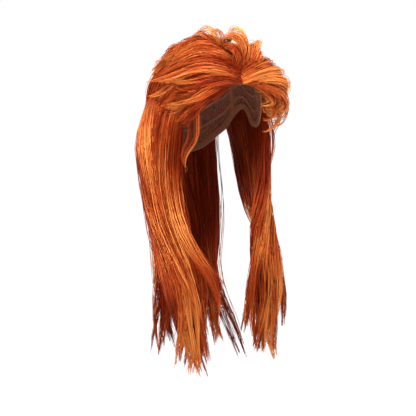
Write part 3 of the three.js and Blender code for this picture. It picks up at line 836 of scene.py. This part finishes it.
def hair_piece(name, material, seed, *batches, under=None):
    """A group of hair. Each batch is its locks' lines, their tones with painted light and shade, and how its
    strands grow.
    """
    bm = bmesh.new()
    if under:
        bm.from_mesh(under)
    for number, (lines, tones_and_painted_light, sizes) in enumerate(batches):
        bm.from_mesh(grown_mesh(lines, tones_and_painted_light, material, Seed=seed + number, **sizes))
        if sizes["Strands"] > THIN:
            bm.from_mesh(core_mesh(lines, tones_and_painted_light))
    mesh = bpy.data.meshes.new(name)
    bm.to_mesh(mesh)
    bm.free()
    mesh.materials.append(material)
    return placed(name, mesh)


SHORT_GROWTH = {"Wave": 0.0022, "Clumps": 7, "Gather": 0.6}
# Painted light on short locks: how much lighter a lock is painted with its height, and how far its tone
# swings from its neighbours'.
PAINTED_LIGHT_BY_LIFT = 0.6
SHADE_SWING = 0.18


def short_batch(locks, painted_light_offset=0.0, **sizes):
    """Short locks as a batch, with painted light in their tones: a lock that stands higher is painted
    lighter, and the offset paints the whole batch lighter or darker.
    """
    lines = [short_line(lock) for lock in locks]
    # Painted light: higher locks are painted lighter, lower ones darker, and the offset paints the batch
    # lighter or darker.
    tones_and_painted_light = [
        PAINTED_LIGHT_BY_LIFT * (lock.lift - 0.5) - 0.04 + SHADE_SWING * math.sin(5 * k) + painted_light_offset
        for k, lock in enumerate(locks)
    ]
    return lines, tones_and_painted_light, {**SHORT_GROWTH, **sizes}


FIBRE_GLOSS = {
    "Metallic": 0.3,
    "Roughness": 0.41,
    "IOR": 1.35,
    "Specular IOR Level": 0.3,
    "Specular Tint": (1.0, 0.6, 0.3, 1),
}


def fibre(name, deep, copper, bright):
    """Smooth synthetic fibre: its colour runs from deep to bright with the tone, with painted shade darkening
    it at the roots and painted light lifting it towards the tips.
    """
    material, tree, shader = new_material(name)
    tone = add(tree, "ShaderNodeAttribute", attribute_name="tone").outputs["Fac"]
    length = add(tree, "ShaderNodeAttribute", attribute_name="length").outputs["Fac"]
    # Painted shade and light along each strand: the tone is lowered by 0.22 at the root and raised by 0.16 at
    # the tip.
    root = {"Value": length, "To Min": -0.22, "To Max": 0.16}
    root = add(tree, "ShaderNodeMapRange", root).outputs["Result"]
    place = add(tree, "ShaderNodeTexCoord").outputs["Object"]
    drift = add(tree, "ShaderNodeTexNoise", {"Vector": place, "Scale": 22, "Detail": 2}).outputs["Fac"]
    drift = add(tree, "ShaderNodeMath", {0: drift, 1: 0.35, 2: -0.05}, operation="MULTIPLY_ADD").outputs[0]
    total = add(tree, "ShaderNodeMath", {0: tone, 1: root}).outputs[0]
    total = add(tree, "ShaderNodeMath", {0: total, 1: drift}).outputs[0]
    colour = colour_ramp(tree, total, (0, deep), (0.8, bright), (0.32, copper))
    join(tree, shader, {"Base Color": colour, **FIBRE_GLOSS})
    return material


short_fibre = fibre("short_fibre", (0.16, 0.011, 0.0018), (0.4, 0.058, 0.01), (0.76, 0.28, 0.066))

crown = hair_piece(
    "crown_hair", short_fibre, 101,
    short_batch(
        fan(CROWN_SWEEP, 2, 11) + fan(CROWN_WHORL, 1, 12) + fan(CROWN_TOP, 1, 15), Strands=46, Radius=0.00045,
    ),
    short_batch(fan(CROWN_HUMP, 2, 13), 0.05, Strands=52, Clumps=4, Radius=0.00038),
    short_batch(fan(CROWN_OVER, 2, 14, 6), 0.04, Strands=40, Clumps=4, Gather=0.7, Radius=0.00038),
    short_batch(CROWN_TUFTS, 0.1, Strands=44, Clumps=6, Gather=0.65, Radius=0.00042, Shortest=0.8),
    short_batch(
        CROWN_WISPS, 0.12,
        Strands=14, Clumps=5, Gather=0.5, Radius=0.00045, Wave=0.004, Shortest=0.75,
    ),
    under=root_layer(),
)
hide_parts("crown_curls")
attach(crown, "root")

# The fringe: two fans of short fibre that part at a cowlick over the forehead. The wearer's right half is
# brushed back over the temple in two layers and flicks out at its tips, and the left half stands up and curls
# over.
FRINGE_RIGHT_BASE = [
    Lock(4, 0.34, -88, 0.4, 0.3, -0.05, 1.1, 10),
    Lock(-2, 0.42, -84, 0.62, 0.28, -0.05, 1.1, 10),
    Lock(-20, 0.48, -72, 0.84, 0.22, 0, 1, 10),
    Lock(-40, 0.52, -64, 0.98, 0.14, 0, 0.9, 10),
]
FRINGE_RIGHT = [
    Lock(2, 0.34, -98, 0.5, 0.42, -0.2, 0.6, 15, -0.06),
    Lock(0, 0.4, -92, 0.58, 0.42, -0.15, 0.6, 25, -0.06),
    Lock(-2, 0.45, -84, 0.64, 0.46, -0.05, 0.6, 40, -0.06),
    Lock(-8, 0.47, -76, 0.66, 0.46, 0.05, 0.55, 60, -0.04),
    Lock(-16, 0.48, -72, 0.78, 0.44, 0.05, 0.5, 70, -0.02),
    Lock(-28, 0.5, -73, 0.92, 0.4, 0.08, 0.45, 75, 0.02),
    Lock(-40, 0.53, -70, 1.02, 0.32, 0.08, 0.45, 75, 0.04),
    Lock(-48, 0.58, -64, 1.06, 0.2, 0.08, 0.35, 60, 0.04),
]
FRINGE_RIGHT_WISPS = [
    Lock(-10, 0.46, -78, 0.66, 0.52, 0.1, 0.25, 130),
    Lock(-20, 0.47, -74, 0.74, 0.5, 0.1, 0.25, 140),
    Lock(-24, 0.48, -72, 0.82, 0.46, 0.1, 0.25, 120),
    Lock(-34, 0.5, -76, 0.96, 0.44, 0.1, 0.25, 140),
    Lock(-40, 0.52, -74, 1.04, 0.42, 0.1, 0.25, 130),
    Lock(-46, 0.56, -68, 1.08, 0.34, 0.1, 0.25, 110),
    Lock(-50, 0.6, -60, 1.1, 0.2, 0.05, 0.25, 60),
]
FRINGE_LEFT_BASE = [
    Lock(-2, 0.34, 40, 0.24, 0.5, 0, 1, -20),
    Lock(0, 0.42, 48, 0.5, 0.5, 0, 1, -20),
    Lock(12, 0.47, 50, 0.8, 0.5, 0, 1, -30),
    Lock(34, 0.5, 54, 0.98, 0.4, 0, 0.9, -20),
]
FRINGE_LEFT = [
    Lock(2, 0.4, 46, 0.42, 0.56, 0, 0.6, -90, 0.05),
    Lock(0, 0.44, 50, 0.5, 0.68, 0, 0.6, -100, 0.05),
    Lock(0, 0.46, 52, 0.6, 0.74, 0, 0.55, -110, 0.04),
    Lock(2, 0.47, 52, 0.72, 0.8, 0, 0.5, -120, 0),
    Lock(8, 0.48, 50, 0.84, 0.82, 0, 0.45, -130, -0.04),
    Lock(16, 0.49, 50, 0.98, 0.78, 0, 0.45, -140, -0.06),
    Lock(26, 0.5, 46, 1.1, 0.6, 0, 0.4, -150, -0.06),
]
FRINGE_LEFT_OVER = [
    Lock(30, 0.36, 76, 0.56, 0.58, 0, 1.0, -40),
    Lock(22, 0.28, 80, 0.38, 0.36, 0, 1.0, -30),
]
FRINGE_LEFT_WISPS = [
    Lock(34, 0.52, 42, 1.26, 0.62, 0, 0.22, -80),
    Lock(32, 0.52, 34, 1.16, 0.46, 0, 0.22, -120),
    Lock(38, 0.53, 50, 1.22, 0.82, 0, 0.22, -110),
    Lock(40, 0.54, 50, 1.12, 0.78, 0, 0.22, -160),
    Lock(12, 0.46, 54, 0.72, 0.85, 0.05, 0.22, -180),
    Lock(8, 0.44, 52, 0.56, 0.8, 0.05, 0.22, -180),
    Lock(6, 0.4, 48, 0.44, 0.72, 0.05, 0.2, -180),
    Lock(14, 0.46, 54, 0.92, 0.82, 0.05, 0.22, -200),
    Lock(4, 0.42, 50, 0.64, 0.76, 0.1, 0.2, 60),
]
fringe_right = hair_piece(
    "fringe_right_hair", short_fibre, 201,
    short_batch(fan(FRINGE_RIGHT_BASE, 2, 21), -0.06, Strands=55, Radius=0.00045),
    short_batch(
        fan(FRINGE_RIGHT, 2, 24, 2), -0.08,
        Strands=50, Clumps=5, Gather=0.75, Radius=0.0004, Wave=0.0035, Shortest=0.62,
    ),
    short_batch(
        FRINGE_RIGHT_WISPS,
        Strands=16, Clumps=3, Gather=0.7, Radius=0.00045, Wave=0.003, Shortest=0.85,
    ),
)
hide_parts("fringe_right")
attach(fringe_right, "root")
fringe_left = hair_piece(
    "fringe_left_hair", short_fibre, 211,
    short_batch(fan(FRINGE_LEFT_BASE, 2, 22) + fan(FRINGE_LEFT_OVER, 2, 23), 0.1, Strands=55, Radius=0.00045),
    short_batch(
        fan(FRINGE_LEFT, 3, 25, 3), 0.1,
        Strands=38, Clumps=4, Gather=0.7, Radius=0.00042, Wave=0.0035, Shortest=0.8,
    ),
    short_batch(
        FRINGE_LEFT_WISPS, 0.08,
        Strands=16, Clumps=3, Gather=0.75, Radius=0.00045, Wave=0.003, Shortest=0.85,
    ),
)
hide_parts("fringe_left")
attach(fringe_left, "root")

# The side and nape layers: short fibre sewn in rows above the ears and round the back, which covers the roots
# of the long hair.
TEMPLE_LEFT = [
    Lock(66, 0.36, 66, 0.9, 0.42, -0.05, 1.1, -20),
    Lock(72, 0.4, 73, 1.06, 0.42, -0.05, 1.1, -20),
    Lock(84, 0.32, 92, 0.98, 0.36, 0.02, 1.2),
    Lock(97, 0.3, 114, 0.84, 0.3, 0.05, 1.2, 15),
]
TEMPLE_RIGHT = [
    Lock(-64, 0.4, -80, 0.94, 0.16, 0, 1.1, 15),
    Lock(-74, 0.36, -91, 0.94, 0.12, 0, 1.1, 15),
    Lock(-88, 0.3, -107, 0.86, 0.07, 0, 1.2, 0),
    Lock(-102, 0.3, -116, 0.84, 0.06, 0, 1.2, 0),
]
TEMPLE_RIGHT_OVER = [
    Lock(-84, 0.24, -114, 0.72, 0.12, 0, 0.6, 10, 0.05),
    Lock(-56, 0.26, -98, 0.8, 0.14, 0, 0.6, 15, 0.08),
    Lock(-60, 0.34, -94, 0.76, 0.2, 0.05, 0.55, 30, 0.08),
    Lock(-64, 0.4, -87, 0.9, 0.22, 0.05, 0.55, 30, 0.08),
    Lock(-70, 0.46, -80, 1.02, 0.2, 0.05, 0.5, 30, 0.05),
]
NAPE_LAYERS = [
    Lock(110, 0.3, 124, 0.84, 0.26, 0.08, 1.3, 15),
    Lock(136, 0.3, 150, 0.9, 0.26, 0.08, 1.3, 15),
    Lock(162, 0.3, 172, 0.94, 0.26, 0.08, 1.3, 15),
    Lock(188, 0.3, 196, 0.94, 0.2, 0.05, 1.3, 15),
    Lock(220, 0.3, 218, 0.9, 0.09, 0, 1.3, 0),
    Lock(246, 0.3, 238, 0.88, 0.06, 0, 1.3, 0),
]
for node, rows, over, seed in (
    ("temple_left", TEMPLE_LEFT, TEMPLE_LEFT, 31),
    ("temple_right", TEMPLE_RIGHT, TEMPLE_RIGHT_OVER, 32),
    ("nape_layers", NAPE_LAYERS, NAPE_LAYERS, 33),
):
    layer = hair_piece(
        node + "_hair", short_fibre, 10 * seed,
        short_batch(fan(rows, 1, seed), Strands=60, Radius=0.00045),
        short_batch(fan(over, 3, seed), Strands=41, Clumps=4, Gather=0.7, Radius=0.0004),
    )
    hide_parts(node)
    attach(layer, "root")

# The long hair: curtains of straight fibre that hang from the sides and back of the cap, over the shoulders
# and down the back, and a thin strand in front of each ear.
HAIR_LENGTH = 0.475
LONG_WIDTH = 0.034
LONG_THICKNESS = 0.013
LONG_STATIONS = 15
SWAY = 0.014
ROOT_SHARE = 0.22
SHOULDER = 0.4
ROOT_INSET = 0.08
CURTAIN_ROOT = 0.68
SIDEBURN_ROOT = 0.46
SWAY_TURN = 7
SMOOTHINGS = 3
LONG_GROWTH = {
    "Clumps": 6, "Wave": 0.0065, "Waves": 2.8, "Gather": 0.75, "Radius": 0.00044,
    "Shortest": 0.88, "Stray": 0.35,
}
# How far a long lock may stray in its share of the curtain, its tip, its width and how far out it lies.
LONG_STRAYS = (0.03, 0.04, 0.2, 0.1)
OVERLAP = 0.22
# along, breadth, thickness, share of the swing
LONG_LOCK = [
    (0, 0.75, 0.5, 0),
    (0.2, 1, 1, 0),
    (0.5, 1, 1, 0),
    (0.68, 0.78, 0.78, 0.05),
    (0.84, 0.48, 0.48, 0.6),
    (1, 0.1, 0.1, 1),
]
# down, fore edge x and y, aft edge x and y, bulge
RIGHT_CURTAIN = [
    (0.3, -1.02, -0.42, -1.16, 0.66, 0.14),
    (0.43, -1.03, -0.38, -1.18, 0.42, 0.13),
    (0.55, -0.9, -0.56, -1.27, 0.12, 0.12),
    (0.61, -0.85, -0.66, -1.35, -0.12, 0.1),
    (0.7, -0.66, -0.8, -1.39, -0.51, 0.08),
    (0.84, -0.71, -0.83, -1.32, -0.68, 0.06),
    (0.96, -0.84, -0.8, -1.26, -0.71, 0.04),
    (1.0, -0.86, -0.79, -1.1, -0.76, 0.02),
]
LEFT_CURTAIN = [
    (0.3, 1.02, -0.44, 1.16, 0.64, 0.12),
    (0.43, 0.92, -0.52, 1.16, 0.52, 0.16),
    (0.49, 0.66, -0.64, 1.2, 0.36, 0.2),
    (0.55, 0.43, -0.66, 1.3, 0.1, 0.24),
    (0.61, 0.36, -0.64, 1.4, -0.3, 0.14),
    (0.67, 0.4, -0.61, 1.38, -0.57, 0.08),
    (0.81, 0.38, -0.61, 1.2, -0.61, 0.06),
    (0.91, 0.5, -0.59, 1.01, -0.6, 0.04),
    (0.98, 0.72, -0.59, 0.96, -0.61, 0.02),
]
BACK_CURTAIN = [
    (0.34, -1.03, 0.71, 1.03, 0.71, 0.54),
    (0.46, -0.98, 0.62, 1.03, 0.62, 0.44),
    (0.57, -0.88, 0.56, 1.0, 0.55, 0.36),
    (0.71, -0.74, 0.61, 0.95, 0.53, 0.28),
    (0.86, -0.64, 0.65, 0.98, 0.47, 0.2),
    (1.0, -0.56, 0.65, 1.1, 0.41, 0.14),
]
RIGHT_SIDEBURN = [
    (0.21, -0.82, -0.68, -0.98, -0.54, 0.02),
    (0.28, -0.86, -0.65, -1.02, -0.5, 0.02),
    (0.34, -0.91, -0.53, -1.04, -0.48, 0.01),
    (0.39, -0.95, -0.41, -1.0, -0.46, 0),
]
LEFT_SIDEBURN = [
    (0.21, 0.95, -0.72, 0.98, -0.48, 0.06),
    (0.26, 1.05, -0.76, 1.03, -0.5, 0.04),
    (0.32, 0.98, -0.64, 1.07, -0.51, 0.02),
    (0.43, 0.96, -0.55, 1.02, -0.47, 0),
]
Long = namedtuple("Long", "turn share tip wide out swing")
LONG_RIGHT = [
    Long(-70, 0, 0.74, 0.9, 0, 0.35),
    Long(-84, 0.24, 0.95, 1.2, 0.1, 0),
    Long(-98, 0.48, 1.01, 1.2, 0, 0),
    Long(-112, 0.74, 1.0, 1.2, 0.1, 0),
    Long(-127, 1, 0.93, 1.1, 0, 0),
]
LONG_LEFT = [
    Long(70, 0, 0.88, 0.8, 0, 0.1),
    Long(84, 0.24, 0.95, 1.2, 0.1, 0),
    Long(98, 0.48, 0.99, 1.2, 0, 0),
    Long(112, 0.74, 0.94, 1.2, 0.1, 0),
    Long(127, 1, 0.89, 1.1, 0, 0),
]
BACK = [
    Long(221, 0, 1.0, 1.1, 0, 0),
    Long(205, 0.2, 0.94, 1.2, 0.1, 0),
    Long(188, 0.4, 0.98, 1.2, 0, 0),
    Long(172, 0.6, 0.93, 1.2, 0.1, 0),
    Long(155, 0.8, 0.97, 1.2, 0, 0),
    Long(139, 1, 1.0, 1.1, 0, 0),
]
SIDEBURN_RIGHT = [Long(-56, 0, 0.385, 0.24, 0, 0), Long(-60, 1, 0.38, 0.16, 0, 0.15)]
SIDEBURN_LEFT = [Long(60, 0, 0.285, 0.3, 0, -0.3), Long(61, 1, 0.43, 0.16, 0, 0)]


def curtain_fan(rows, count, seed, narrow):
    """The locks of a curtain, from its fore to its aft edge, in turn a little out and a little in."""
    dice = np.random.default_rng(seed)
    rows = np.array(rows, float)
    made = []
    for k in range(count):
        place = k / (count - 1) * (len(rows) - 1)
        i = min(int(place), len(rows) - 2)
        row = rows[i] + (rows[i + 1] - rows[i]) * (place - i)
        share, tip, wide, out = dice.uniform(-1, 1, 4) * LONG_STRAYS
        row[1] = np.clip(row[1] + share, 0, 1)
        row[2] *= 1 - abs(tip)
        row[3] *= narrow * (1 + wide)
        row[4] += (OVERLAP if k % 2 else -OVERLAP) + out
        made.append(Long(*row))
    return made


def long_line(lock, root_down, curtain, lean):
    root, root_normal = off_head(head_direction(lock.turn, root_down + ROOT_INSET), BACKING_LIFT)
    top = curtain[0][0]
    points, outs, sizes = [], [], []
    for t in np.linspace(0, 1, LONG_STATIONS):
        wide, thick, swing = smooth(LONG_LOCK, t)
        half_width = LONG_WIDTH / 2 * lock.wide * wide
        low = max(0, t - ROOT_SHARE) / (1 - ROOT_SHARE)
        down = top + (lock.tip - top) * low
        fore_x, fore_y, aft_x, aft_y, bulge = smooth(curtain, down)
        fore = np.array((fore_x, fore_y)) * HEAD[:2]
        aft = np.array((aft_x, aft_y)) * HEAD[:2]
        across = aft - fore
        breadth = np.linalg.norm(across)
        inset = min(0.5, half_width / breadth)
        place = inset + (1 - 2 * inset) * lock.share
        outward = np.array((across[1], -across[0])) / breadth
        if outward @ (fore + aft) < 0:
            outward = -outward
        bulge *= HEAD[0] * 4
        flat = fore + across * place + outward * bulge * place * (1 - place)
        forward = -across / breadth
        facing = outward - forward * bulge / breadth * (2 * place - 1)
        facing /= np.linalg.norm(facing)
        point = np.array((*flat, -down * HAIR_LENGTH))
        normal = np.array((*facing, 0))
        point += normal * lock.out * LONG_THICKNESS
        sway = lock.swing * LONG_WIDTH * swing + SWAY * low * math.sin(SWAY_TURN * low + lean)
        point[:2] += forward * sway
        if t < ROOT_SHARE:
            s = t / ROOT_SHARE
            shoulder = np.array((point[0], point[1], root[2] + (point[2] - root[2]) * SHOULDER))
            point = root * (1 - s) ** 2 + shoulder * 2 * s * (1 - s) + point * s * s
            normal = normal * s + root_normal * (1 - s)
            normal /= np.linalg.norm(normal)
        points.append(point)
        outs.append(normal)
        sizes.append((half_width, LONG_THICKNESS / 2 * thick))
    points = np.array(points)
    for _ in range(SMOOTHINGS):
        points[1:-1] = (points[:-2] + 2 * points[1:-1] + points[2:]) / 4
    return lay_out(points, np.array(outs), np.array(sizes), 0, 0.8)


def painted_light_bands(share, along):
    """Painted light on a curtain: slanting bands of painted highlight and painted shade across its
    overlapping locks, painted shade near the roots, the aft edge painted lighter near the roots, and darker
    towards the tips.
    """
    # Slow and quick slanting bands of painted highlight and painted shade.
    slow = np.sin(2 * math.pi * (0.9 * share + 1.3 * along) + 2.4)
    quick = np.sin(2 * math.pi * (2.3 * share - 1.9 * along) + 0.6)
    clear = np.minimum(1, along / 0.12)
    below = np.clip((along - 0.5) / 0.25, 0, 1)
    bands_alone = 0.2 * slow + 0.17 * quick + 0.24 * (share - 0.5) * (1 - along)
    return bands_alone * clear - 0.12 * (1 - clear) - 0.24 * below


long_fibre = fibre("long_fibre", (0.15, 0.0095, 0.0015), (0.37, 0.05, 0.009), (0.75, 0.27, 0.062))
for node, rows, curtain, count, narrow, seed, strands in (
    ("long_hair_right", LONG_RIGHT, RIGHT_CURTAIN, 13, 0.9, 41, 104),
    ("long_hair_left", LONG_LEFT, LEFT_CURTAIN, 12, 0.9, 42, 100),
    ("back_hair", BACK, BACK_CURTAIN, 15, 1, 43, 84),
):
    locks = curtain_fan(rows, count, seed, narrow)
    lines = [long_line(lock, CURTAIN_ROOT, curtain, 2.1 * k) for k, lock in enumerate(locks)]
    along = np.linspace(0, 1, LONG_STATIONS)
    # Painted shade between the locks: a lock that lies further out is painted lighter and a deeper one
    # darker, with the curtain's painted light bands added.
    tones_and_painted_light = [0.75 * lock.out - 0.05 + painted_light_bands(lock.share, along) for lock in locks]
    growth = {"Strands": strands, **LONG_GROWTH}
    length = hair_piece(node + "_strands", long_fibre, 10 * seed, (lines, tones_and_painted_light, growth))
    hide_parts(node)
    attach(length, "root")

for node, locks, curtain, seed in (
    ("sideburn_right", SIDEBURN_RIGHT, RIGHT_SIDEBURN, 44),
    ("sideburn_left", SIDEBURN_LEFT, LEFT_SIDEBURN, 45),
):
    lines = [long_line(lock, SIDEBURN_ROOT, curtain, 0) for lock in locks]
    growth = {"Strands": 15, "Clumps": 2, "Wave": 0.0015, "Gather": 0.75, "Spread": 0.8}
    strand = hair_piece(node + "_strands", long_fibre, 10 * seed, (lines, [-0.1] * len(lines), growth))
    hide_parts(node)
    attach(strand, "root")
